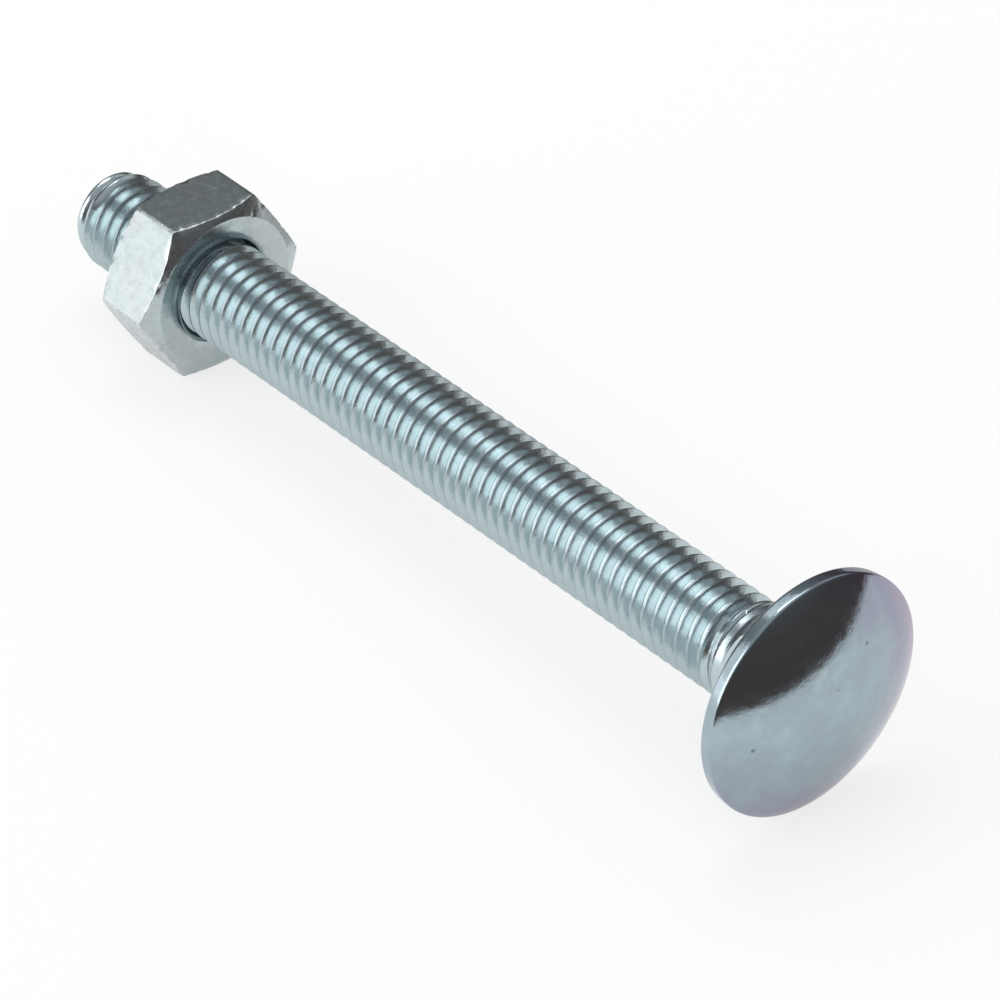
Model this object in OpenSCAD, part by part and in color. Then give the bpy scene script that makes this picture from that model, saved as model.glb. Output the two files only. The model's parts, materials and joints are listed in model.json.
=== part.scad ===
// Carriage bolt with a mushroom head, a square neck and a hexagon nut on its thread.
// It lies as it comes to rest: on the rim of its head and on one flat of its nut.

/* [Bolt] */
// Length from the underside of the head to the tip
bolt_l = 99; // [80:1:120]
// Diameter over the crests of the thread
thread_d = 9.86; // [9.6:0.02:10]
// Distance between two crests of the thread
pitch = 1.5; // [1.25:0.05:1.75]
// Straight sides that one turn of the thread is drawn with
thread_sides = 18; // [14:1:20]
// Position of the thread's start round the bolt, in degrees
thread_start = 98; // [0:1:359]

/* [Head] */
// Diameter of the head
head_d = 24.1; // [22:0.1:26]
// Height of the head from its underside to the top of the dome
head_h = 4.8; // [4.4:0.1:5.6]
// Height of the upright rim below the dome
rim_h = 1.4; // [1.1:0.1:2]
// Rounding of the rim's lower edge
rim_under_r = 0.3; // [0.2:0.1:0.5]
// Rounding of the rim's upper edge
rim_top_r = 0.3; // [0.2:0.1:0.5]

/* [Neck] */
// Width of the square neck over its flats
neck_w = 10; // [9.8:0.1:10.6]
// Diameter over the rounded corners of the neck
neck_corner_d = 13; // [12.4:0.1:13.4]
// Length of the neck under the head
neck_l = 5.4; // [5:0.1:6.6]
// Length over which the corners of the neck rise out of the shank
neck_shoulder_l = 1.4; // [0.6:0.1:1.8]
// Turn of the neck's flats against the flats of the nut, in degrees
neck_turn = -17; // [-45:1:45]
// Length of the plain round shank between the thread and the neck
plain_l = 1; // [0.6:0.1:2]

/* [Tip] */
// Diameter of the flat end face
tip_face_d = 7.6; // [7:0.1:8]
// Diameter at the foot of the end's bevel
tip_bevel_d = 8.7; // [8.2:0.1:9.2]
// Length of the end's bevel
tip_bevel_l = 0.5; // [0.3:0.1:0.8]
// Length over which the first turn of the thread grows to its full height
tip_lead_l = 2.4; // [1.5:0.1:3.5]

/* [Nut] */
// Width of the nut over its flats
nut_w = 16.8; // [16:0.1:18]
// Height of the nut
nut_h = 7.7; // [7:0.1:8.4]
// Diameter of the flat ring on each face of the nut
nut_face_d = 15.5; // [14.6:0.1:15.8]
// Slope of the nut's corner chamfers against its faces, in degrees
nut_chamfer_angle = 30; // [20:1:35]
// Diameter of the countersunk mouths of the nut's bore
nut_mouth_d = 11.1; // [10.6:0.1:11.6]
// Angle of the countersinks, over both sides, in degrees
nut_mouth_angle = 120; // [90:5:120]
// Gap all round between the nut's bore and the crests of the thread
nut_bore_gap = 0.07; // [0.03:0.01:0.1]
// Distance from the tip to the nut
nut_from_tip = 10.4; // [5:0.1:70]

/* [Hidden] */

// Thread: flanks at 30 degrees to a plane across the axis, a crest of an
// eighth of the pitch and a root of a quarter of it.
flank_angle = 30;
crest_flat = pitch/8;
root_flat = pitch/4;
flank_l = (pitch - crest_flat - root_flat)/2;
thread_r = thread_d/2;
root_r = thread_r - flank_l/tan(flank_angle);

// Head
rim_r = head_d/2;
dome_h = head_h - rim_h;
dome_r = (rim_r*rim_r + dome_h*dome_h)/(2*dome_h);
dome_centre = head_h - dome_r;
top_round_x = rim_r - rim_top_r;
top_round_y = dome_centre + sqrt(pow(dome_r - rim_top_r, 2) - pow(top_round_x, 2));
// Radius at which the dome meets the rounding of the rim
dome_edge_r = top_round_x*dome_r/(dome_r - rim_top_r);

// Shank
neck_start = bolt_l - neck_l;
plain_start = neck_start - plain_l;
// The plain shank is a little thicker than the thread that ends in it
plain_r = thread_r + 0.03;
runout_l = pitch;
// How far the foot of the run-out's cone lies below the root of the thread
runout_bury = 0.4;
// The solid of the thread ends out of sight, inside the plain shank
thread_end = plain_start + plain_l/2;
tip_face_r = tip_face_d/2;
tip_bevel_r = tip_bevel_d/2;
// How far one solid reaches into the next where they are joined
overlap = 1;
small = 0.01;

// Nut
nut_bore_r = thread_r + nut_bore_gap;
nut_mouth_r = nut_mouth_d/2;
nut_mouth_depth = (nut_mouth_r - nut_bore_r)/tan(nut_mouth_angle/2);
nut_face_r = nut_face_d/2;
nut_corner_r = nut_w/2/cos(30);
// Height of the chamfer over the middle of a flat
nut_flat_drop = (nut_w/2 - nut_face_r)*tan(nut_chamfer_angle);

// Resting pose: a line touches the rounding of the rim and the end of the
// nut's lower flat, and the bolt is turned until that line is level.
touch_run = bolt_l + rim_under_r - nut_from_tip - nut_flat_drop;
touch_rise = rim_r - rim_under_r - nut_w/2;
rest_tilt = atan2(touch_rise, touch_run) + asin(rim_under_r/norm([touch_run, touch_rise]));
// Height of the tip's centre over the floor
tip_height = nut_w/2*cos(rest_tilt) - (nut_from_tip + nut_flat_drop)*sin(rest_tilt);
// Ends of the lying bolt measured from the tip's centre
far_end = (bolt_l + dome_centre)*cos(rest_tilt) + dome_r;
near_end = -tip_face_r*sin(rest_tilt);

// Turns the bolt's axis from +Z to +X, lowers its tip and sets it on the floor,
// with the middle of its length over the origin.
module lying() {
    translate([-(far_end + near_end)/2, 0, tip_height])
        rotate([0, 90 - rest_tilt, 0])
            children();
}

// One corner of the thread's outline: distance along the axis and radius.
function thread_corner(i) =
    let (turn = floor(i/4), part = i%4)
    [turn*pitch + [0, root_flat, root_flat + flank_l, root_flat + flank_l + crest_flat][part],
     part < 2 ? root_r : thread_r];

// A right-hand thread that runs from under z = 0 past z = length, as one closed skin.
// Each column of points stands at its own angle, and is one step of the helix
// higher than the column before it; a full turn makes that one pitch.
module thread_body(length) {
    sides = thread_sides;
    start = -1.5*pitch;
    rows = 4*ceil((length - start)/pitch + 1);
    points = [
        for (side = [0:sides - 1])
            for (i = [0:rows - 1])
                let (c = thread_corner(i), angle = 360*side/sides)
                [c[1]*cos(angle), c[1]*sin(angle), start + c[0] + pitch*side/sides]
    ];
    low_centre = len(points);
    high_centre = low_centre + 1;
    low = start - pitch;
    high = start + pitch*(rows/4 + 1);
    function at(side, i) = side*rows + i;
    strips = [
        for (side = [0:sides - 2])
            for (i = [0:rows - 2])
                each [
                    [at(side, i), at(side + 1, i + 1), at(side + 1, i)],
                    [at(side, i), at(side, i + 1), at(side + 1, i + 1)]
                ]
    ];
    seam = [
        for (i = [0:rows - 6])
            each [
                [at(sides - 1, i), at(0, i + 5), at(0, i + 4)],
                [at(sides - 1, i), at(sides - 1, i + 1), at(0, i + 5)]
            ]
    ];
    low_loop = concat([for (side = [0:sides - 1]) at(side, 0)], [for (i = [4:-1:1]) at(0, i)]);
    high_loop = concat(
        [for (side = [0:sides - 1]) at(side, rows - 1)],
        [for (i = [rows - 2:-1:rows - 5]) at(sides - 1, i)]
    );
    low_cap = [
        for (k = [0:len(low_loop) - 1])
            [low_centre, low_loop[k], low_loop[(k + 1)%len(low_loop)]]
    ];
    high_cap = [
        for (k = [0:len(high_loop) - 1])
            [high_centre, high_loop[(k + 1)%len(high_loop)], high_loop[k]]
    ];
    polyhedron(
        points = concat(points, [[0, 0, low], [0, 0, high]]),
        faces = concat(strips, seam, low_cap, high_cap),
        convexity = 10
    );
}

// The thread's envelope: bevelled at the tip, then growing to full height.
module shank_envelope() {
    rotate_extrude()
        polygon([
            [0, 0],
            [tip_face_r, 0],
            [tip_bevel_r, tip_bevel_l],
            [thread_r + small, tip_lead_l],
            [thread_r + overlap, tip_lead_l],
            [thread_r + overlap, thread_end],
            [0, thread_end]
        ]);
}

// The last turn of the thread runs out on a cone that ends in the plain shank.
// From there the shoulder rises to the neck's corners. All of it is one turned
// envelope round a square bar.
module neck() {
    cone_slope = (plain_r - root_r)/runout_l;
    cone_foot_r = root_r - runout_bury;
    cone_foot = plain_start - (plain_r - cone_foot_r)/cone_slope;
    intersection() {
        translate([0, 0, cone_foot])
            rotate([0, 0, neck_turn])
                linear_extrude(bolt_l + overlap - cone_foot)
                    square(neck_w, center = true);
        rotate_extrude()
            polygon([
                [0, cone_foot],
                [cone_foot_r, cone_foot],
                [plain_r, plain_start],
                [plain_r, neck_start],
                [neck_corner_d/2, neck_start + neck_shoulder_l],
                [neck_corner_d/2, bolt_l + overlap],
                [0, bolt_l + overlap]
            ]);
    }
}

// Half of the head's section, with its underside on y = 0.
module head_section() {
    intersection() {
        translate([0, dome_centre])
            circle(r = dome_r, $fn = 96);
        square([dome_edge_r, head_h + small]);
    }
    translate([0, rim_under_r])
        square([rim_r, top_round_y - rim_under_r]);
    square([rim_r - rim_under_r, rim_under_r]);
    translate([rim_r - rim_under_r, rim_under_r])
        circle(r = rim_under_r, $fn = 32);
    translate([top_round_x, top_round_y])
        circle(r = rim_top_r, $fn = 32);
}

module head() {
    translate([0, 0, bolt_l])
        rotate_extrude($fn = 96)
            head_section();
}

module bolt() {
    color("lightsteelblue")
        lying() {
            intersection() {
                rotate([0, 0, thread_start])
                    thread_body(thread_end);
                shank_envelope();
            }
            neck();
            head();
        }
}

// Corner chamfers of both faces of the nut, as one turned envelope.
module nut_envelope() {
    reach = nut_corner_r + 1;
    drop = (reach - nut_face_r)*tan(nut_chamfer_angle);
    rotate_extrude($fn = 96)
        polygon([
            [0, 0],
            [nut_face_r, 0],
            [reach, drop],
            [reach, nut_h - drop],
            [nut_face_r, nut_h],
            [0, nut_h]
        ]);
}

module nut_mouth() {
    translate([0, 0, -small])
        cylinder(
            h = nut_mouth_depth + small,
            r1 = nut_mouth_r + small*tan(nut_mouth_angle/2),
            r2 = nut_bore_r,
            $fn = 64
        );
}

module hex_nut() {
    color("silver")
        lying()
            translate([0, 0, nut_from_tip])
                difference() {
                    intersection() {
                        rotate([0, 0, 30])
                            cylinder(h = nut_h, r = nut_corner_r, $fn = 6);
                        nut_envelope();
                    }
                    translate([0, 0, -overlap])
                        cylinder(h = nut_h + 2*overlap, r = nut_bore_r, $fn = 64);
                    nut_mouth();
                    translate([0, 0, nut_h])
                        mirror([0, 0, 1])
                            nut_mouth();
                }
}

bolt();
hex_nut();
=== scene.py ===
"""Looks of a zinc plated carriage bolt and its hexagon nut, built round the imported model."""

import json
import math

import bpy
import numpy as np
from bpy.props import FloatProperty, FloatVectorProperty, IntProperty, PointerProperty, StringProperty
from mathutils import Matrix, Vector, noise


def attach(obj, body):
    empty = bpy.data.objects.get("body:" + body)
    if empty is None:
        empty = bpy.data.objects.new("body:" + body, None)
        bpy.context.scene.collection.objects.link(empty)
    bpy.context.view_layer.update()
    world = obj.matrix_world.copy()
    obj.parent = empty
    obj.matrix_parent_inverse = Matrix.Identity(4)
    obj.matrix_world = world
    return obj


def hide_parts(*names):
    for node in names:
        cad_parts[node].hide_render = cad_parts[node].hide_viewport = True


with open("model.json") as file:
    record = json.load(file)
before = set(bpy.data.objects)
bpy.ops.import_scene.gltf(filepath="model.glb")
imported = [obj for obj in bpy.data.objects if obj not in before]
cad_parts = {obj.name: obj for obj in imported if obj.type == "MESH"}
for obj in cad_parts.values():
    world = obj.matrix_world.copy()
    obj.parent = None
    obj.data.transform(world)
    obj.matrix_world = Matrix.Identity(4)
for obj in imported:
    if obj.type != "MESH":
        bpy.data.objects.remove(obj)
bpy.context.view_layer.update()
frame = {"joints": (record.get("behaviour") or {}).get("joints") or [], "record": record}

bl_info = {
    "name": "Carriage Bolt",
    "version": (1, 0, 0),
    "blender": (4, 5, 0),
    "location": "View3D > Sidebar > Carriage Bolt",
    "description": "Builds a zinc plated carriage bolt, its nut and a plain studio round them",
    "category": "Object",
}

MM = 0.001

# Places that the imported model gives: the tip's centre, the bolt's axis and the seats of head and nut
MOUNTS = {mount["name"]: Vector(mount["pos_m"]) for mount in frame["record"]["mounts"]}
TIP = MOUNTS["tip_thread"]
AXIS = Vector(frame["joints"][0]["axis"]).normalized()
ACROSS = Vector((0, 1, 0))
DOWN = ACROSS.cross(AXIS)
BOLT_LENGTH = (MOUNTS["head_seat"] - TIP).dot(AXIS)
NUT_SEAT = (MOUNTS["nut_seat"] - TIP).dot(AXIS)

# The plain shank is a little thicker than the thread that ends in it
PLAIN_STEP = 0.03 * MM
# Roundings of the neck's start, of the end of its shoulder and of its foot under the head
NECK_FILLETS = (0.8 * MM, 0.5 * MM, 0.6 * MM)
# Rows of points from the rim to the top of the dome
DOME_ROWS = 26
# Slope of the countersunk mouths of the nut's bore, which are 120 degrees wide
MOUTH_SLOPE = math.tan(math.radians(60))
# Dents in the nut's edges: how far they reach from an edge, how wide they are, how much less they reach
# round the face, and how wide the strip of the flats is that has points for them
DENT_REACH = 0.34 * MM
DENT_WIDTH = 0.55 * MM
FACE_EDGE_EASE = 0.13 * MM
DENT_ROOM = 0.7 * MM
# Thickness of the passivation film, from 0 to 1, on the thread and in the middle of the dome
THREAD_FILM = 0.05
HEAD_FILM = 0.42

# Pits in the dome, in millimetres: along the axis from the tip, downwards, across, and how wide they are
PITS = (
    (102.13, 0.36, -8.62, 0.4),
    (102.85, -5.19, 4.02, 0.35),
    (102.65, -7.15, 0.75, 0.2),
    (103.64, -2.68, -0.1, 0.2),
)


def to_world(points):
    """Rows of (along the axis, downwards, across) from the tip's centre, as points of the frame."""
    turn = np.array([AXIS, DOWN, ACROSS])
    return np.asarray(points, float) @ turn + np.array(TIP)


# Outlines


def filleted(points, radii, steps=3):
    """The open outline with each inner corner rounded to its radius, as a new list of points."""
    points = [np.asarray(p, float) for p in points]
    out = [points[0]]
    for before, corner, after, radius in zip(points, points[1:], points[2:], radii):
        if radius == 0:
            out.append(corner)
            continue
        a = before - corner
        b = after - corner
        la = np.linalg.norm(a)
        lb = np.linalg.norm(b)
        a /= la
        b /= lb
        half = math.acos(max(-1.0, min(1.0, float(a @ b)))) / 2
        reach = min(radius / math.tan(half), 0.49 * la, 0.49 * lb)
        radius = reach * math.tan(half)
        middle = (a + b) / np.linalg.norm(a + b)
        centre = corner + middle * radius / math.sin(half)
        start = corner + a * reach - centre
        end = corner + b * reach - centre
        sweep = math.pi - 2 * half
        for k in range(steps + 1):
            share = k / steps
            spoke = math.sin((1 - share) * sweep) * start + math.sin(share * sweep) * end
            out.append(centre + spoke / math.sin(sweep))
    out.append(points[-1])
    return out


def held(points, reach, every=1):
    """The outline with a point added near both ends of every n-th side, so that smooth shading keeps
    it flat."""
    out = [points[0]]
    for k, (a, b) in enumerate(zip(points, points[1:])):
        if k % every == 0:
            share = min(1 / 3, reach / max(float(np.linalg.norm(b - a)), 1e-9))
            out += [a + (b - a) * share, b - (b - a) * share]
        out.append(b)
    return out


# Meshes


def turn_angles(count):
    return [2 * math.pi * k / count for k in range(count)]


class Skin:
    """A closed skin in the making: points round the bolt's axis, and faces between rings of them."""

    def __init__(self):
        self.points = []
        self.faces = []

    def add(self, along, angle, radius):
        """One point, by its place along the axis, its angle round it and its distance from it."""
        self.points.append((along, radius * math.cos(angle), radius * math.sin(angle)))
        return len(self.points) - 1

    def ring(self, along, angles, radii):
        return [self.add(along, a, r) for a, r in zip(angles, radii)]

    def face(self, corners):
        """Adds a face, leaving out corners that have run together."""
        kept = [c for k, c in enumerate(corners) if c != corners[k - 1]]
        if len(kept) > 2:
            self.faces.append(kept)

    def band(self, low, high):
        """Joins two rings of equally many points; high lies further along the axis."""
        count = len(low)
        for k in range(count):
            n = (k + 1) % count
            self.face([low[k], low[n], high[n], high[k]])

    def zipped(self, low, low_angles, high, high_angles):
        """Joins two rings with different numbers of points by triangles, angle by angle."""
        i = j = 0
        low_turns = list(low_angles) + [low_angles[0] + 2 * math.pi]
        high_turns = list(high_angles) + [high_angles[0] + 2 * math.pi]
        while i < len(low) or j < len(high):
            a = low[i % len(low)]
            b = high[j % len(high)]
            if j == len(high) or (i < len(low) and low_turns[i + 1] <= high_turns[j + 1]):
                i += 1
                self.face([a, low[i % len(low)], b])
            else:
                j += 1
                self.face([a, high[j % len(high)], b])

    def cap(self, ring, along, outwards):
        """Closes a ring by a fan. outwards is 1 where the fan faces along the axis and -1 where it faces
        back."""
        centre = self.add(along, 0, 0)
        for k in range(len(ring)):
            edge = [ring[k], ring[(k + 1) % len(ring)]]
            self.face([centre] + (edge if outwards > 0 else edge[::-1]))

    def helix(self, rows, pitch, start, columns, low, high, radius_at, inwards=False):
        """A screw surface between the planes low and high. Its rows of points follow the helix, and the
        point of each column that lies nearest to a plane is moved onto it. Returns the rings on both
        planes."""
        per_turn = len(rows)
        first = math.floor((low - start) / pitch) - 2
        last = math.ceil((high - start) / pitch) + 1
        steps = range(first * per_turn, last * per_turn)
        along = [start + pitch * (i // per_turn) + rows[i % per_turn][0] for i in steps]
        place = {}
        ends = []
        for c, angle in enumerate(turn_angles(columns)):
            shift = pitch * c / columns
            here = np.array(along) + shift
            bottom = int(np.abs(here - low).argmin())
            top = int(np.abs(here - high).argmin())
            for k in range(bottom, top + 1):
                u = low if k == bottom else high if k == top else float(here[k])
                place[c, k] = self.add(u, angle, radius_at(u, rows[steps[k] % per_turn][1]))
            ends.append((bottom, top))

        def at(c, k):
            if c == columns:
                c = 0
                k += per_turn
            return place[c, min(max(k, ends[c][0]), ends[c][1])]

        for c in range(columns):
            for k in range(ends[c][0] - per_turn - 1, ends[c][1] + 1):
                corners = [at(c, k), at(c + 1, k), at(c + 1, k + 1), at(c, k + 1)]
                self.face(corners[::-1] if inwards else corners)
        bottom_ring = [place[c, ends[c][0]] for c in range(columns)]
        top_ring = [place[c, ends[c][1]] for c in range(columns)]
        return bottom_ring, top_ring

    def piece(self, name, attributes=None):
        """The skin as a smooth shaded object of the scene."""
        mesh = bpy.data.meshes.new(name)
        mesh.from_pydata(to_world(self.points).tolist(), [], self.faces)
        mesh.validate()
        for key, values in (attributes or {}).items():
            mesh.attributes.new(key, "FLOAT", "POINT").data.foreach_set("value", values)
        mesh.shade_smooth()
        thing = bpy.data.objects.new(name, mesh)
        bpy.context.scene.collection.objects.link(thing)
        return thing


def quarter_angles(first):
    """Angles round a square bar, close together where its flats end. first is the angle of one flat's
    middle."""
    half = [3 * k for k in range(11)] + [32, 34, 35.5, 37, 38, 39, 40, 41, 42, 43.5]
    quarter = [-45] + [-a for a in half[:0:-1]] + half
    return [first + math.radians(90 * q + a) for q in range(4) for a in quarter]


# Materials


def linear(hex_colour):
    """An sRGB hex colour as linear light, with alpha 1."""
    parts = [int(hex_colour[k:k + 2], 16) / 255 for k in (1, 3, 5)]
    return tuple(c / 12.92 if c <= 0.04045 else ((c + 0.055) / 1.055) ** 2.4 for c in parts) + (1.0,)


def new_material(name):
    material = bpy.data.materials.new(name)
    material.use_nodes = True
    material.node_tree.nodes.clear()
    return material


def node(tree, kind, settings=None, **links):
    """Adds a node. settings are its own properties or its sockets' values, and links are sockets that
    other nodes feed, by name or as _ and a number."""
    made = tree.nodes.new(kind)
    for key, value in (settings or {}).items():
        if isinstance(key, str) and hasattr(made, key):
            setattr(made, key, value)
        else:
            made.inputs[key].default_value = value
    for key, source in links.items():
        target = made.inputs[int(key[1:])] if key[1:].isdigit() else made.inputs[key.replace("_", " ")]
        tree.links.new(source, target)
    return made


def ramp(tree, factor, stops):
    """A colour ramp through the stops, each a place and an sRGB hex colour."""
    made = node(tree, "ShaderNodeValToRGB", Fac=factor)
    elements = made.color_ramp.elements
    while len(elements) < len(stops):
        elements.new(0.5)
    for element, (place, colour) in zip(elements, stops):
        element.position = place
        element.color = linear(colour)
    return made.outputs["Color"]


def per_metre(size_mm):
    """The noise scale whose features are about that size."""
    return 1 / (size_mm * MM)


def mixed(tree, factor, low, high, blend="MIX"):
    """Two colours mixed by the factor. Each colour, and the factor, is a socket or a plain value."""
    made = node(tree, "ShaderNodeMix", {"data_type": "RGBA", "blend_type": blend})
    for place, source in ((0, factor), (6, low), (7, high)):
        if isinstance(source, bpy.types.NodeSocket):
            tree.links.new(source, made.inputs[place])
        else:
            made.inputs[place].default_value = source
    return made.outputs[2]


def zinc_plate(name, tints, finish, roughness, bump_mm, grain_share, cloudiness, mottle, marks=()):
    """Electroplated zinc on steel, barrel plated and blue passivated: a bright metal that mirrors its
    surroundings softly, with a faint rainbow film and the grain and knocks of parts tumbled together. Its
    film colours also carry a painted sheen on the dome and painted shade on the thread's crests, and its
    lighter rubbed edges are partly a painted highlight.
    tints are the film's colours from thin to thick, cloudiness is how much its thickness drifts, mottle is
    the share of its blotches, and marks are pits, each a point and its size."""
    material = new_material(name)
    tree = material.node_tree
    space = node(tree, "ShaderNodeTexCoord").outputs["Object"]
    film, wear_and_glint, rolled = [node(tree, "ShaderNodeAttribute", {"attribute_name": key}).outputs["Fac"]
                          for key in ("film", "wear_and_glint", "rolled")]

    # Cloudy changes of the film's thickness, some millimetres wide
    cloud = node(tree, "ShaderNodeTexNoise", {"Scale": per_metre(4.0), "Detail": 4.0, "Roughness": 0.6},
                 Vector=space).outputs["Fac"]
    drift = node(tree, "ShaderNodeMapRange", {"From Min": 0.3, "From Max": 0.7, "To Min": -cloudiness,
                                              "To Max": cloudiness}, Value=cloud).outputs["Result"]
    thickness = node(tree, "ShaderNodeMath", {"operation": "ADD"}, _0=film, _1=drift).outputs["Value"]
    tint = ramp(tree, thickness, tints)
    # Blotches where the zinc took the passivation unevenly, about a millimetre wide
    blotch = node(tree, "ShaderNodeTexNoise", {"Scale": per_metre(0.9), "Detail": 5.0, "Roughness": 0.65},
                  Vector=space).outputs["Fac"]
    full = 0.36
    clear = 0.6
    stain = ramp(tree, blotch, [(full, finish.blotch), (clear, "#FFFFFF")])
    stained = mixed(tree, mottle, tint, stain, "MULTIPLY")
    # Small pits in the plating
    for place, size in marks:
        away = node(tree, "ShaderNodeVectorMath", {"operation": "DISTANCE", 1: place},
                    _0=space).outputs["Value"]
        share = node(tree, "ShaderNodeMapRange", {"From Min": size * 0.3, "From Max": size * 0.7,
                                                  "To Min": 0.6, "To Max": 0.0},
                     Value=away).outputs["Result"]
        stained = mixed(tree, share, stained, linear(finish.pit))

    # Fine plating grain, drawn at 0.35 mm, coarser than the real one, so that it shows
    grain = node(tree, "ShaderNodeTexNoise", {"Scale": per_metre(0.35), "Detail": 4.0, "Roughness": 0.6},
                 Vector=space).outputs["Fac"]
    fine_rough = node(tree, "ShaderNodeMapRange", {"From Min": 0.3, "From Max": 0.7,
                                                   "To Min": roughness * 0.8, "To Max": roughness * 1.25},
                      Value=grain).outputs["Result"]
    # The blotches are matt as well
    matt = node(tree, "ShaderNodeMapRange", {"From Min": full, "From Max": clear, "To Min": mottle,
                                             "To Max": 0.0}, Value=blotch).outputs["Result"]
    rough = node(tree, "ShaderNodeMath", {"operation": "ADD"}, _0=fine_rough, _1=matt).outputs["Value"]
    # The rolled thread is duller than the head, which the die has smoothed
    thread_rough = node(tree, "ShaderNodeMath", {"operation": "MULTIPLY_ADD", 1: 0.1}, _0=rolled,
                        _2=rough).outputs["Value"]
    # Matt bright patches along the edges: plating rubbed in the barrel, and partly a painted highlight on
    # the edges
    rub = node(tree, "ShaderNodeTexNoise", {"Scale": per_metre(0.6), "Detail": 5.0, "Roughness": 0.7},
               Vector=space).outputs["Fac"]
    rubbed = node(tree, "ShaderNodeMath", {"operation": "MULTIPLY"}, _0=wear_and_glint, _1=rub).outputs["Value"]
    rub_and_glint = node(tree, "ShaderNodeMapRange", {"From Min": 0.38, "From Max": 0.5},
                Value=rubbed).outputs["Result"]
    with_rub_and_glint = mixed(tree, rub_and_glint, stained, linear(finish.rub_and_glint))
    dulled = node(tree, "ShaderNodeMath", {"operation": "MULTIPLY_ADD", 1: 0.2}, _0=rub_and_glint,
                  _2=thread_rough).outputs["Value"]

    # Ripples of the forged surface under the plating, and the grain on top
    ripple = node(tree, "ShaderNodeTexNoise", {"Scale": per_metre(1.6), "Detail": 2.0, "Roughness": 0.5},
                  Vector=space).outputs["Fac"]
    relief = node(tree, "ShaderNodeMath", {"operation": "MULTIPLY_ADD", 1: grain_share}, _0=grain,
                  _2=ripple).outputs["Value"]
    # On the thread it is stronger, and makes the flanks glitter
    height = node(tree, "ShaderNodeMath", {"operation": "MULTIPLY_ADD"}, _0=relief, _1=rolled,
                  _2=relief).outputs["Value"]
    bump = node(tree, "ShaderNodeBump", {"Strength": 1.0, "Distance": bump_mm * MM},
                Height=height).outputs["Normal"]
    shader = node(tree, "ShaderNodeBsdfPrincipled", {"Metallic": 1.0}, Base_Color=with_rub_and_glint, Roughness=dulled,
                  Normal=bump)
    node(tree, "ShaderNodeOutputMaterial", Surface=shader.outputs["BSDF"])
    return material


def plain_emission(name, colour):
    material = new_material(name)
    tree = material.node_tree
    glow = node(tree, "ShaderNodeEmission", {"Color": linear(colour), "Strength": 1.0})
    node(tree, "ShaderNodeOutputMaterial", Surface=glow.outputs["Emission"])
    return material


def matt_paper(name, colour, seen_glow, mirrored_glow):
    """Uncoated white paper: matt, with no grain that shows at this distance. A share of white glow lifts
    it, one share for the camera and one for what the metal mirrors, and leaves the object's shadow on
    it."""
    material = new_material(name)
    tree = material.node_tree
    paper = node(tree, "ShaderNodeBsdfPrincipled", {"Base Color": linear(colour), "Roughness": 0.9})
    glow = node(tree, "ShaderNodeEmission", {"Color": linear("#FFFFFF"), "Strength": 1.0})
    path = node(tree, "ShaderNodeLightPath").outputs
    mirrored = node(tree, "ShaderNodeMath", {"operation": "MAXIMUM"}, _0=path["Is Glossy Ray"],
                    _1=path["Is Transmission Ray"]).outputs["Value"]
    seen_share = node(tree, "ShaderNodeMath", {"operation": "MULTIPLY", 1: seen_glow},
                      _0=path["Is Camera Ray"]).outputs["Value"]
    share = node(tree, "ShaderNodeMath", {"operation": "MULTIPLY_ADD", 1: mirrored_glow}, _0=mirrored,
                 _2=seen_share).outputs["Value"]
    lit = node(tree, "ShaderNodeMixShader", _0=share, _1=paper.outputs["BSDF"], _2=glow.outputs["Emission"])
    node(tree, "ShaderNodeOutputMaterial", Surface=lit.outputs["Shader"])
    return material


# Sizes and colours that a user would change


def length(name, default_mm, description):
    return FloatProperty(name=name, default=default_mm * MM, unit="LENGTH", subtype="DISTANCE", precision=5,
                         description=description)


class BoltSizes(bpy.types.PropertyGroup):
    """Sizes of the bolt"""

    thread_diameter: length("Thread Diameter", 9.86, "Diameter over the thread's crests")
    pitch: length("Pitch", 1.5, "Distance between two crests of the thread")
    thread_start: FloatProperty(name="Thread Start", default=math.radians(98), subtype="ANGLE",
                                description="Turn of the thread round the bolt")
    root_radius: length("Root Radius", 0.05, "Rounding of the thread's root")
    crest_radius: length("Crest Radius", 0.03, "Rounding of the thread's crest")
    columns: IntProperty(name="Thread Columns", default=64, description="Points round the thread")
    tip_face: length("Tip Face", 7.6, "Diameter of the flat end face")
    tip_bevel: length("Tip Bevel", 8.7, "Diameter at the foot of the end's bevel")
    tip_bevel_length: length("Tip Bevel Length", 0.5, "Length of the end's bevel")
    tip_lead: length("Tip Lead", 2.4, "Length over which the thread grows to full height")
    neck_width: length("Neck Width", 10.0, "Width of the square neck over its flats")
    neck_corners: length("Neck Corners", 13.0, "Diameter over the neck's corners")
    neck_length: length("Neck Length", 5.4, "Length of the neck under the head")
    neck_shoulder: length("Neck Shoulder", 1.4, "Length over which the neck's corners rise from the shank")
    neck_turn: FloatProperty(name="Neck Turn", default=math.radians(-17), subtype="ANGLE",
                             description="Turn of the neck's flats")
    plain_length: length("Plain Length", 1.0, "Length of the plain shank between thread and neck")
    head_diameter: length("Head Diameter", 24.1, "Diameter of the head")
    head_height: length("Head Height", 4.8, "Height of the head")
    rim_height: length("Rim Height", 1.4, "Height of the upright rim")
    rim_draft: FloatProperty(name="Rim Draft", default=math.radians(3.5), subtype="ANGLE",
                             description="Slope of the rim, which widens towards the dome")
    rim_under: length("Rim Under Radius", 0.3, "Rounding of the rim's lower edge")
    rim_top: length("Rim Top Radius", 0.3, "Rounding of the rim's upper edge")


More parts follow.
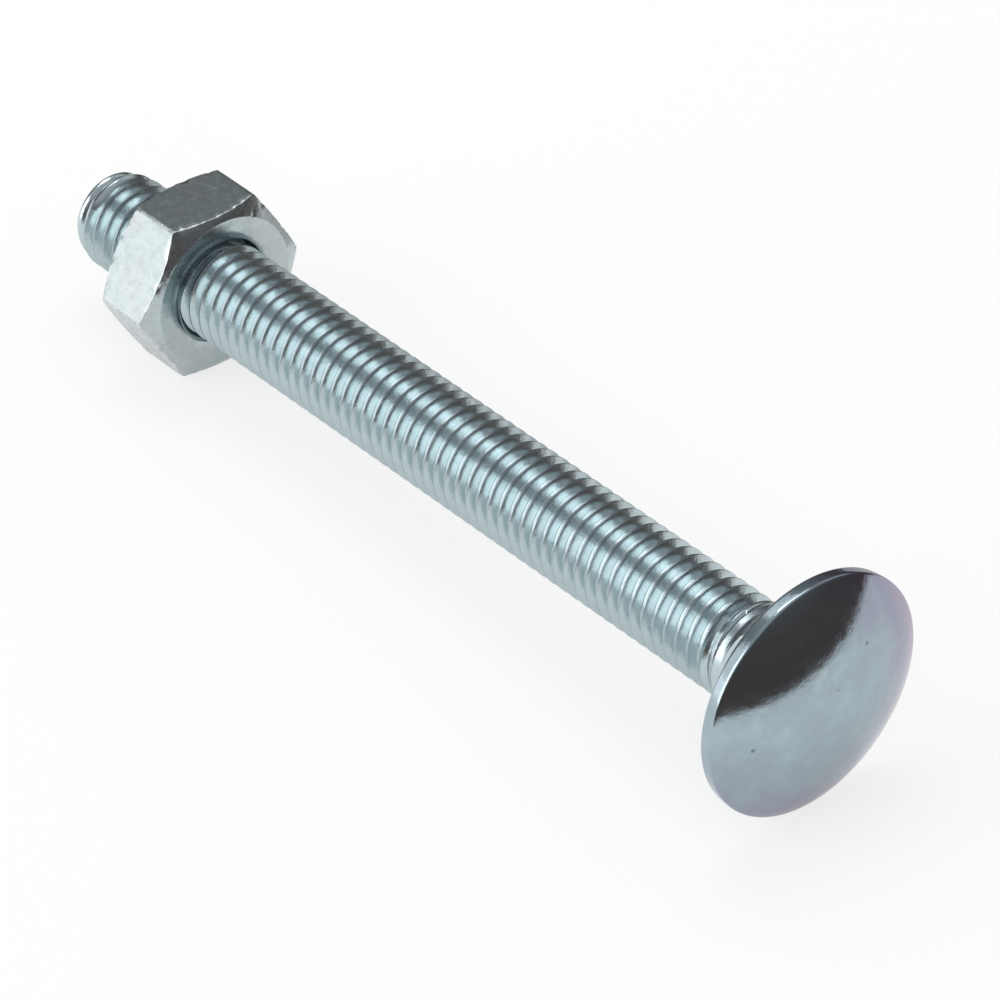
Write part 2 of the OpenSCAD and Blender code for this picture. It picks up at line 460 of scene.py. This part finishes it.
class NutSizes(bpy.types.PropertyGroup):
    """Sizes of the nut"""

    width: length("Width", 16.8, "Width over the flats")
    height: length("Height", 7.7, "Height of the nut")
    face: length("Face", 15.5, "Diameter of the flat ring on each face")
    chamfer: FloatProperty(name="Chamfer", default=math.radians(30), subtype="ANGLE",
                           description="Slope of the corner chamfers")
    mouth: length("Mouth", 11.1, "Diameter of the countersunk mouths")
    edge_radius: length("Edge Radius", 0.12, "Rounding of the nut's edges")
    corner_radius: length("Corner Radius", 0.35, "Rounding of the nut's six upright corners")
    thread_gap: length("Thread Gap", 0.05, "Clearance between the nut's thread and the bolt's")
    knocks: length("Knocks", 0.2, "Depth of the deepest dents along the edges")


def colour(name, default, description):
    return StringProperty(name=name, default=default, description=description + ", as an sRGB hex colour")


class Finish(bpy.types.PropertyGroup):
    """Colours of the plating and the studio"""

    thread_tint: colour("Thread Tint", "#C0CED1", "Thin film on the thread")
    head_tint: colour("Head Tint", "#A5B5BC", "Film on the dome")
    # Lavender and pink are film colours; on the dome's lower, far side of the bolt they are a painted sheen
    lavender: colour("Lavender", "#9A9DAE", "Thicker film towards the rim of the head")
    pink: colour("Pink", "#A99DAE", "Thickest film, along the rim of the head")
    nut_cool: colour("Nut Cool", "#B9C8C9", "Bluish part of the nut's film")
    nut_warm: colour("Nut Warm", "#C0C5C6", "Greyer part of the nut's film")
    blotch: colour("Blotch", "#A7ABB8", "Uneven film")
    pit: colour("Pit", "#4A4E52", "Small pits in the plating")
    # Lighter colour along the edges: rubbed plating, and partly a painted highlight on them
    rub_and_glint: colour("Rub And Glint", "#EDF1F1", "Rubbed plating along edges")
    paper: colour("Paper", "#F6F6F6", "Floor")


def brightness(name, default, description):
    return FloatProperty(name=name, default=default, description="Brightness of " + description)


class Studio(bpy.types.PropertyGroup):
    """Camera, lamps and surroundings"""

    aim: FloatVectorProperty(name="Aim", default=(0.008382, -0.001490, 0.009893), size=3,
                             subtype="TRANSLATION", unit="LENGTH",
                             description="Point that the camera looks at")
    distance: length("Distance", 551, "Distance from the camera to its aim")
    azimuth: FloatProperty(name="Azimuth", default=math.radians(-40.645), subtype="ANGLE",
                           description="Direction of the camera from the aim, from +X towards +Y")
    elevation: FloatProperty(name="Elevation", default=math.radians(39.032), subtype="ANGLE",
                             description="Height of the camera over the floor, as an angle")
    roll: FloatProperty(name="Roll", default=math.radians(0.325), subtype="ANGLE",
                        description="Turn of the camera round its view")
    lens: FloatProperty(name="Lens", default=218.34,
                        description="Focal length in millimetres on a 36 mm sensor")
    window: brightness("Window", 2.25, "the softbox at the front left")
    window_low: brightness("Window Low", 1.45, "the softbox low beside it")
    window_side: brightness("Window Side", 0.95, "the dim side of the front left softbox")
    overhead: brightness("Overhead", 2.6, "the softbox overhead")
    overhead_side: brightness("Overhead Side", 0.8, "the dim side of the softbox overhead")
    far_wall: brightness("Far Wall", 0.4, "the pale wall behind")
    floor_seen: brightness("Floor Seen", 0.75, "the floor's glow as the camera sees it")
    floor_mirrored: brightness("Floor Mirrored", 0.43, "the floor's glow as the metal mirrors it")
    daylight: brightness("Daylight", 0.8, "the even light from all round")
    room_low: colour("Room Low", "#5A5251", "Room near the floor")
    room_middle: colour("Room Middle", "#625F5F", "Room above that")
    room_high: colour("Room High", "#808285", "Room over the object")
    room_top: colour("Room Top", "#B4B6B9", "Ceiling of the room")
    sky: colour("Sky", "#F1F3F4", "Even light from all round")
    beyond: colour("Beyond", "#594E4C", "Floor past the paper's edge")
    half_shade: colour("Half Shade", "#C6C6C6", "Shaded far side of the paper, as the metal mirrors it")


def bolt_radius(sizes):
    """The bolt's outline as a function of the place along it and of the thread's own radius there."""
    crest = sizes.thread_diameter / 2
    plain_radius = crest + PLAIN_STEP
    plain_start = thread_end(sizes)
    root = thread_root(sizes)

    def at(u, thread_radius):
        bevel = sizes.tip_face / 2 + (sizes.tip_bevel - sizes.tip_face) / 2 * u / sizes.tip_bevel_length
        lead_share = (u - sizes.tip_bevel_length) / (sizes.tip_lead - sizes.tip_bevel_length)
        lead = sizes.tip_bevel / 2 + (crest - sizes.tip_bevel / 2) * lead_share
        runout = plain_radius - (plain_radius - root) * (plain_start - u) / sizes.pitch
        return max(min(thread_radius, bevel, lead), runout)

    return at


def thread_end(sizes):
    """Where the thread ends and the plain shank starts, along the axis."""
    return BOLT_LENGTH - sizes.neck_length - sizes.plain_length


def helix_start(sizes):
    """Where a turn of the thread starts along the axis, the same for bolt and nut, so that they mesh. In
    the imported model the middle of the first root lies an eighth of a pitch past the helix's start, which
    is one and a half pitches before the tip. A turn here starts in the middle of the crest half a pitch
    lower."""
    return -sizes.pitch * (1.5 - 1 / 8 + sizes.thread_start / (2 * math.pi) + 0.5)


def thread_root(sizes):
    """Radius of the thread's root. The crest is an eighth of the pitch wide and the root a quarter, and the
    flanks stand at 30 degrees."""
    flank = (1 - 1 / 8 - 1 / 4) * sizes.pitch / 2
    return sizes.thread_diameter / 2 - flank / math.tan(math.radians(30))


def thread_rows(sizes, gap=0.0):
    """One turn of the thread, from the middle of one crest to the next: places along the axis and radii."""
    pitch = sizes.pitch
    crest = sizes.thread_diameter / 2 + gap
    root = thread_root(sizes) + gap
    # A gap measured square to the flanks moves them along the axis by that much over the cosine
    shift = gap / math.cos(math.radians(30)) - gap * math.tan(math.radians(30))
    outline = [(-pitch / 2, crest), (-pitch / 16 * 7 - shift, crest), (-pitch / 8 - shift, root),
               (pitch / 8 + shift, root), (pitch / 16 * 7 + shift, crest), (pitch / 2, crest)]
    outline = [(u + pitch / 2, r) for u, r in outline]
    radii = [sizes.crest_radius, sizes.root_radius, sizes.root_radius, sizes.crest_radius]
    # Every second side is one of the crest, the flanks and the root; those between are the roundings
    rows = held(filleted(outline, radii, steps=1), 0.012 * MM, every=2)
    return [(float(u), float(r)) for u, r in rows[:-1]]


class CARRIAGE_OT_bolt(bpy.types.Operator):
    """Build the bolt: one forging with a domed head, a square neck and a rolled thread"""

    bl_idname = "carriage.bolt"
    bl_label = "Bolt"

    def execute(self, context):
        sizes = context.scene.bolt_sizes
        skin = Skin()
        low, high = skin.helix(thread_rows(sizes), sizes.pitch, helix_start(sizes), sizes.columns, 0.0,
                               thread_end(sizes), bolt_radius(sizes))
        angles = turn_angles(sizes.columns)
        # Rings across the flat end face, and its middle
        tip = sizes.tip_face / 2
        inner = [skin.ring(0.0, angles, [tip * share] * len(angles)) for share in (0.93, 0.8, 0.4)]
        skin.band(inner[0], low)
        skin.band(inner[1], inner[0])
        skin.band(inner[2], inner[1])
        skin.cap(inner[2], 0.0, -1)

        bar = quarter_angles(sizes.neck_turn)
        columns = [self.column(sizes, a) for a in bar]
        rings = [[skin.add(u, a, r) for a, (u, r) in zip(bar, row)] for row in zip(*columns)]
        skin.zipped(high, angles, rings[0], bar)
        for below, above in zip(rings, rings[1:]):
            skin.band(below, above)
        skin.cap(rings[-1], BOLT_LENGTH + sizes.head_height, 1)

        bolt = skin.piece("carriage_bolt", self.surface(skin, sizes))
        finish = context.scene.finish
        # The lavender and pink go where the film is thickest, on the dome's lower, far side, where they are
        # a painted sheen
        tints = [(0.0, finish.thread_tint), (0.2, finish.thread_tint), (HEAD_FILM, finish.head_tint),
                 (0.64, finish.lavender), (0.84, finish.pink)]
        pits = [(to_world([[u * MM, down * MM, across * MM]])[0], size * MM)
                for u, down, across, size in PITS]
        bolt.data.materials.append(zinc_plate("electroplated zinc on forged steel", tints, finish,
                                              roughness=0.1, bump_mm=0.017, grain_share=0.4,
                                              cloudiness=0.08, mottle=0.05, marks=pits))
        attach(bolt, "bolt")
        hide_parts("bolt")
        return {"FINISHED"}

    def surface(self, skin, sizes):
        """Three values for each point: the thickness of its film, which also places a painted sheen on the
        dome and painted shade on the thread's crests, how rubbed it is, with a lighter colour partly a
        painted highlight, and 1 for the duller look of the rolled thread, which all but the head has."""
        points = np.array(skin.points)
        radius = np.hypot(points[:, 1], points[:, 2])
        rim = sizes.head_diameter / 2
        reach = radius / rim
        on_head = points[:, 0] > BOLT_LENGTH
        crest = sizes.thread_diameter / 2
        painted_shade_on_crest = (points[:, 0] < thread_end(sizes)) & (radius > crest - 0.02 * MM)
        # The film thickens towards the rim; on the side that lies lowest and furthest across, its darker
        # lavender and pink are a painted sheen
        painted_sheen_side = np.clip(0.55 + 0.7 * (points[:, 1] * 0.6 + points[:, 2] * 0.8) / rim, 0, 1)
        rim_share = np.clip((reach - 0.86) / 0.14, 0, 1)
        head_film_and_sheen = HEAD_FILM + painted_sheen_side * (0.33 * reach ** 2 + 0.17 * rim_share)
        film = np.where(on_head, head_film_and_sheen, THREAD_FILM)
        # Painted shade: the crests of the thread get the darker film colour of the head, which dims their
        # highlight
        film[painted_shade_on_crest] = HEAD_FILM
        # Only the corner of the rim is much rubbed, and its lighter colour there is partly a painted
        # highlight
        wear_and_glint = np.where(on_head & (reach > 0.99), 0.55, 0.3)
        rolled = np.where(on_head, 0.0, 1.0)
        return {"film": film, "wear_and_glint": wear_and_glint, "rolled": rolled}

    def column(self, sizes, angle):
        """The outline of neck and head at one angle, from the end of the thread to the top of the dome."""
        turned = (angle - sizes.neck_turn + math.pi / 4) % (math.pi / 2) - math.pi / 4
        flat = sizes.neck_width / 2 / math.cos(turned)
        limit = sizes.neck_corners / 2
        # The corners of the square run softly into the round envelope
        soft = 0.12 * MM
        bar = (flat + limit - math.sqrt((flat - limit) ** 2 + soft ** 2)) / 2
        plain_radius = sizes.thread_diameter / 2 + PLAIN_STEP
        neck_start = BOLT_LENGTH - sizes.neck_length
        slope = (limit - plain_radius) / sizes.neck_shoulder
        shoulder_top = neck_start + max(bar - plain_radius, 0.02 * MM) / slope
        seat = BOLT_LENGTH
        rim = sizes.head_diameter / 2
        # The rim leaves the die with a slight draft
        draft = sizes.rim_height * math.tan(sizes.rim_draft)
        # The dome is a cap of a sphere that meets the rim's rounding
        dome_height = sizes.head_height - sizes.rim_height
        dome_radius = (rim ** 2 + dome_height ** 2) / (2 * dome_height)
        dome_centre = seat + sizes.head_height - dome_radius
        edge = math.asin((rim - sizes.rim_top) / (dome_radius - sizes.rim_top))
        round_u = dome_centre + (dome_radius - sizes.rim_top) * math.cos(edge)
        round_r = rim - sizes.rim_top
        outline = [(neck_start - sizes.plain_length, plain_radius), (neck_start, plain_radius),
                   (shoulder_top, bar), (seat, bar), (seat, rim - draft),
                   (seat + sizes.rim_height * 0.75, rim)]
        rows = held(filleted(outline, [*NECK_FILLETS, sizes.rim_under], steps=5), 0.12 * MM)
        # The rim's rows go up to the rounding and no further
        rows = [(u, r) for u, r in rows if u < round_u or r < rim - 0.01 * MM]
        # Rounding of the rim's upper edge
        for k in range(7):
            t = math.pi / 2 - (math.pi / 2 - edge) * k / 6
            rows.append((round_u + sizes.rim_top * math.cos(t), round_r + sizes.rim_top * math.sin(t)))
        for k in range(1, DOME_ROWS):
            t = edge * (1 - k / DOME_ROWS)
            rows.append((dome_centre + dome_radius * math.cos(t), dome_radius * math.sin(t)))
        return [(float(u), float(r)) for u, r in rows]


class CARRIAGE_OT_nut(bpy.types.Operator):
    """Build the hexagon nut, with its own thread"""

    bl_idname = "carriage.nut"
    bl_label = "Nut"

    def execute(self, context):
        sizes = context.scene.nut_sizes
        bolt = context.scene.bolt_sizes
        skin = Skin()
        low = NUT_SEAT - sizes.height
        high = NUT_SEAT
        columns = bolt.columns
        mouth = sizes.mouth / 2
        rows = thread_rows(bolt, sizes.thread_gap)

        def inner_radius(u, thread_radius):
            depth = min(u - low, high - u)
            return max(thread_radius, mouth - depth * MOUTH_SLOPE)

        bottom, top = skin.helix(rows, bolt.pitch, helix_start(bolt), columns, low, high, inner_radius,
                                 inwards=True)
        angles = turn_angles(columns)
        outline = self.hexagon(sizes)
        bar = [a for a, r in outline]
        profiles = [self.column(sizes, r, low, high) for a, r in outline]
        rings = [[skin.add(u, a, r) for a, (u, r) in zip(bar, row)] for row in zip(*profiles)]
        # The faces join the mouths to the first and last outer ring
        skin.zipped(bottom, angles, rings[0], bar)
        for below, above in zip(rings, rings[1:]):
            skin.band(below, above)
        skin.zipped(rings[-1], bar, top, angles)

        # Lighter rubbed edges, partly a painted highlight
        wear_and_glint = self.knock(skin, sizes, low, high)
        nut = skin.piece("hexagon_nut", {"film": np.full(len(wear_and_glint), 0.5), "wear_and_glint": wear_and_glint})
        finish = context.scene.finish
        tints = [(0.3, finish.nut_cool), (0.7, finish.nut_warm)]
        nut.data.materials.append(zinc_plate("electroplated zinc on cold formed steel", tints, finish,
                                             roughness=0.16, bump_mm=0.014, grain_share=0.4,
                                             cloudiness=0.15, mottle=0.12))
        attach(nut, "nut")
        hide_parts("hex_nut")
        return {"FINISHED"}

    def knock(self, skin, sizes, low, high):
        """Dents the outer edges where parts knocked together in the barrel. Returns how rubbed each point
        is, from 0.25 away from the edges to 1 on them; the lighter colour it gives the edges is partly a
        painted highlight."""
        points = np.array(skin.points)
        radius = np.hypot(points[:, 1], points[:, 2])
        angle = np.arctan2(points[:, 2], points[:, 1])
        off_corner = np.abs(angle % (math.pi / 3) - math.pi / 6)
        flat = sizes.width / 2 / np.cos(math.pi / 6 - off_corner)
        drop = (flat - sizes.face / 2) * math.tan(sizes.chamfer)
        end = np.minimum(points[:, 0] - low, high - points[:, 0])
        # Distances from the upright corners, from the edge of the face and from that of the chamfer
        on_flats = (radius > sizes.width / 2 - 0.05 * MM) & (end > drop - 0.1 * MM)
        to_corner = np.where(on_flats, off_corner * radius, np.inf)
        to_face_edge = np.hypot(radius - sizes.face / 2, end)
        to_chamfer_edge = np.hypot(radius - flat, end - drop)
        nearest = np.minimum(np.minimum(to_corner, to_face_edge + FACE_EDGE_EASE), to_chamfer_edge)
        near = np.clip(1 - nearest / DENT_REACH, 0, 1)
        middle = np.array(((low + high) / 2, 0, 0))
        for k in np.nonzero(near > 0)[0]:
            depth = max(0.0, noise.noise(Vector(points[k] / DENT_WIDTH)) - 0.05)
            dent = depth * sizes.knocks * float(near[k])
            inward = middle - points[k]
            skin.points[k] = tuple(points[k] + inward / np.linalg.norm(inward) * dent)
        return np.clip(near, 0.25, 1)

    def hexagon(self, sizes):
        """Angles and radii round the nut, with rounded corners; one flat faces straight down."""
        corner = sizes.width / 2 / math.cos(math.pi / 6)
        turns = [math.pi / 6 + math.pi / 3 * k for k in range(-1, 7)]
        points = [(corner * math.cos(a), corner * math.sin(a)) for a in turns]
        rounded = filleted(points, [sizes.corner_radius] * 6, steps=6)[1:-1]
        out = []
        count = len(rounded)
        for k in range(count):
            a = rounded[k]
            b = rounded[(k + 1) % count]
            # The flats get enough points for the dents in their edges
            parts = 36 if np.linalg.norm(b - a) > 2 * MM else 1
            for s in range(parts):
                p = a + (b - a) * s / parts
                out.append((math.atan2(p[1], p[0]) % (2 * math.pi), float(np.hypot(*p))))
        return sorted(out)

    def column(self, sizes, radius, low, high):
        """The outline at one angle: face, chamfer, flat, chamfer, face."""
        face = sizes.face / 2
        ring = face - 1.2 * MM
        drop = (radius - face) * math.tan(sizes.chamfer)
        # Points between the edges keep the dents in the edges from spreading over the flats
        half = (face + radius) / 2
        inset = drop + DENT_ROOM
        outline = [(low, ring), (low, face), (low + drop / 2, half), (low + drop, radius),
                   (low + inset, radius), (high - inset, radius), (high - drop, radius),
                   (high - drop / 2, half), (high, face), (high, ring)]
        edge = sizes.edge_radius
        rows = filleted(outline, [edge, 0, edge, 0, 0, edge, 0, edge], steps=4)
        return [(float(u), float(r)) for u, r in held(rows, 0.1 * MM)]


def direction(azimuth, elevation):
    """The unit vector of a direction given in degrees."""
    a = math.radians(azimuth)
    e = math.radians(elevation)
    return Vector((math.cos(a) * math.cos(e), math.sin(a) * math.cos(e), math.sin(e)))


def dark_room(radius, studio):
    """A dome over the stage that the metal mirrors: dark at the height of the object, paler above."""
    columns = 64
    rows = 16
    points = [direction(360 * k / columns, 90 * j / rows) * radius
              for j in range(rows) for k in range(columns)]
    points.append(Vector((0, 0, radius)))
    faces = []
    for k in range(columns):
        n = (k + 1) % columns
        for j in range(rows - 1):
            faces.append([j * columns + k, j * columns + n, (j + 1) * columns + n, (j + 1) * columns + k])
        faces.append([(rows - 1) * columns + k, (rows - 1) * columns + n, len(points) - 1])
    material = new_material("dark room")
    tree = material.node_tree
    place = node(tree, "ShaderNodeNewGeometry").outputs["Position"]
    height = node(tree, "ShaderNodeSeparateXYZ", Vector=place).outputs["Z"]
    share = node(tree, "ShaderNodeMath", {"operation": "DIVIDE", 1: radius}, _0=height).outputs["Value"]
    tone = ramp(tree, share, [(0.17, studio.room_low), (0.30, studio.room_middle), (0.55, studio.room_high),
                              (0.85, studio.room_top)])
    glow = node(tree, "ShaderNodeEmission", {"Strength": 1.0}, Color=tone)
    node(tree, "ShaderNodeOutputMaterial", Surface=glow.outputs["Emission"])
    stage_piece("dark_room", points, faces, material)


def stage_piece(name, points, faces, material, glossy_only=True):
    """A piece of the stage. What is glossy only shows in the metal and takes no light away."""
    mesh = bpy.data.meshes.new(name)
    mesh.from_pydata([tuple(p) for p in points], [], faces)
    mesh.materials.append(material)
    thing = bpy.data.objects.new(name, mesh)
    bpy.context.scene.collection.objects.link(thing)
    if glossy_only:
        thing.visible_camera = False
        thing.visible_diffuse = False
        thing.visible_shadow = False
        thing.visible_transmission = False


def soft_lamp(name, azimuth, elevation, distance, size, radiance):
    """A rectangular softbox in that direction from the object, facing it. radiance is its brightness,
    whatever its size."""
    lamp = bpy.data.lights.new(name, "AREA")
    lamp.shape = "RECTANGLE"
    lamp.size = size[0]
    lamp.size_y = size[1]
    lamp.energy = radiance * math.pi * size[0] * size[1]
    thing = bpy.data.objects.new(name, lamp)
    bpy.context.scene.collection.objects.link(thing)
    thing.location = direction(azimuth, elevation) * distance
    thing.rotation_euler = direction(azimuth, elevation).to_track_quat("Z", "Y").to_euler()


class CARRIAGE_OT_stage(bpy.types.Operator):
    """Build the floor, the lamps, the dark room that the metal mirrors and the camera"""

    bl_idname = "carriage.stage"
    bl_label = "Stage"

    def execute(self, context):
        studio = context.scene.studio
        finish = context.scene.finish
        one_face = [[0, 1, 2, 3]]
        side = 2.0
        sheet = [(-side, -side, 0), (side, -side, 0), (side, side, 0), (-side, side, 0)]
        stage_piece("floor", sheet, one_face,
                    matt_paper("matt white paper", finish.paper, studio.floor_seen, studio.floor_mirrored),
                    glossy_only=False)

        # The paper ends just past the head: the dark floor beyond it shows in the dome
        edge_way = direction(-22, 0)
        edge = edge_way * 0.094 + Vector((0, 0, 0.0005))
        wide = direction(68, 0) * 1.4
        deep = edge_way * 1.4
        beyond = [edge + wide, edge - wide, edge - wide + deep, edge + wide + deep]
        stage_piece("dark_floor", beyond, one_face, plain_emission("floor beyond the paper", studio.beyond))
        # The paper lies in half shade on its far side, where the shank's upper edge mirrors it
        shade = [(-0.6, 0.024, 0.0004), (0.03, 0.024, 0.0004), (0.03, 0.6, 0.0004), (-0.6, 0.6, 0.0004)]
        stage_piece("shaded_floor", shade, one_face,
                    plain_emission("paper in half shade", studio.half_shade))
        dark_room(1.3, studio)
        soft_lamp("window", -110, 24, 0.8, (0.44, 0.78), studio.window)
        soft_lamp("window_low", -134, 6.5, 0.82, (0.28, 0.18), studio.window_low)
        soft_lamp("window_side", -134, 27, 0.82, (0.28, 0.42), studio.window_side)
        soft_lamp("overhead", 150, 67, 0.9, (0.5, 0.34), studio.overhead)
        soft_lamp("far_wall", 98, 36, 0.9, (0.4, 0.4), studio.far_wall)
        soft_lamp("overhead_side", 168, 50, 0.92, (0.42, 0.20), studio.overhead_side)

        world = bpy.data.worlds.new("plain pale room")
        context.scene.world = world
        world.use_nodes = True
        background = world.node_tree.nodes["Background"].inputs
        background["Color"].default_value = linear(studio.sky)
        background["Strength"].default_value = studio.daylight

        camera = bpy.data.cameras.new("camera")
        camera.lens = studio.lens
        camera.sensor_width = 36
        camera.clip_end = 10
        eye = bpy.data.objects.new("camera", camera)
        context.scene.collection.objects.link(eye)
        way = direction(math.degrees(studio.azimuth), math.degrees(studio.elevation))
        turn = way.to_track_quat("Z", "Y").to_matrix() @ Matrix.Rotation(studio.roll, 3, "Z")
        eye.matrix_world = Matrix.Translation(Vector(studio.aim) + way * studio.distance) @ turn.to_4x4()
        context.scene.camera = eye
        context.scene.view_settings.view_transform = "Standard"
        return {"FINISHED"}


class CARRIAGE_PT_panel(bpy.types.Panel):
    """Lists the builders and their sizes"""

    bl_label = "Carriage Bolt"
    bl_idname = "CARRIAGE_PT_panel"
    bl_space_type = "VIEW_3D"
    bl_region_type = "UI"
    bl_category = "Carriage Bolt"

    def draw(self, context):
        for operator, settings in (("carriage.bolt", "bolt_sizes"), ("carriage.nut", "nut_sizes"),
                                   ("carriage.stage", "studio")):
            box = self.layout.box()
            box.operator(operator)
            group = getattr(context.scene, settings)
            for key in group.__annotations__:
                box.prop(group, key)
        for key in context.scene.finish.__annotations__:
            self.layout.prop(context.scene.finish, key)


GROUPS = {"bolt_sizes": BoltSizes, "nut_sizes": NutSizes, "finish": Finish, "studio": Studio}
CLASSES = (*GROUPS.values(), CARRIAGE_OT_bolt, CARRIAGE_OT_nut, CARRIAGE_OT_stage, CARRIAGE_PT_panel)


def register():
    for cls in CLASSES:
        bpy.utils.register_class(cls)
    for name, group in GROUPS.items():
        setattr(bpy.types.Scene, name, PointerProperty(type=group))


def unregister():
    for name in GROUPS:
        delattr(bpy.types.Scene, name)
    for cls in reversed(CLASSES):
        bpy.utils.unregister_class(cls)


def main():
    register()
    bpy.ops.carriage.stage()
    bpy.ops.carriage.bolt()
    bpy.ops.carriage.nut()


if __name__ == "__main__":
    main()
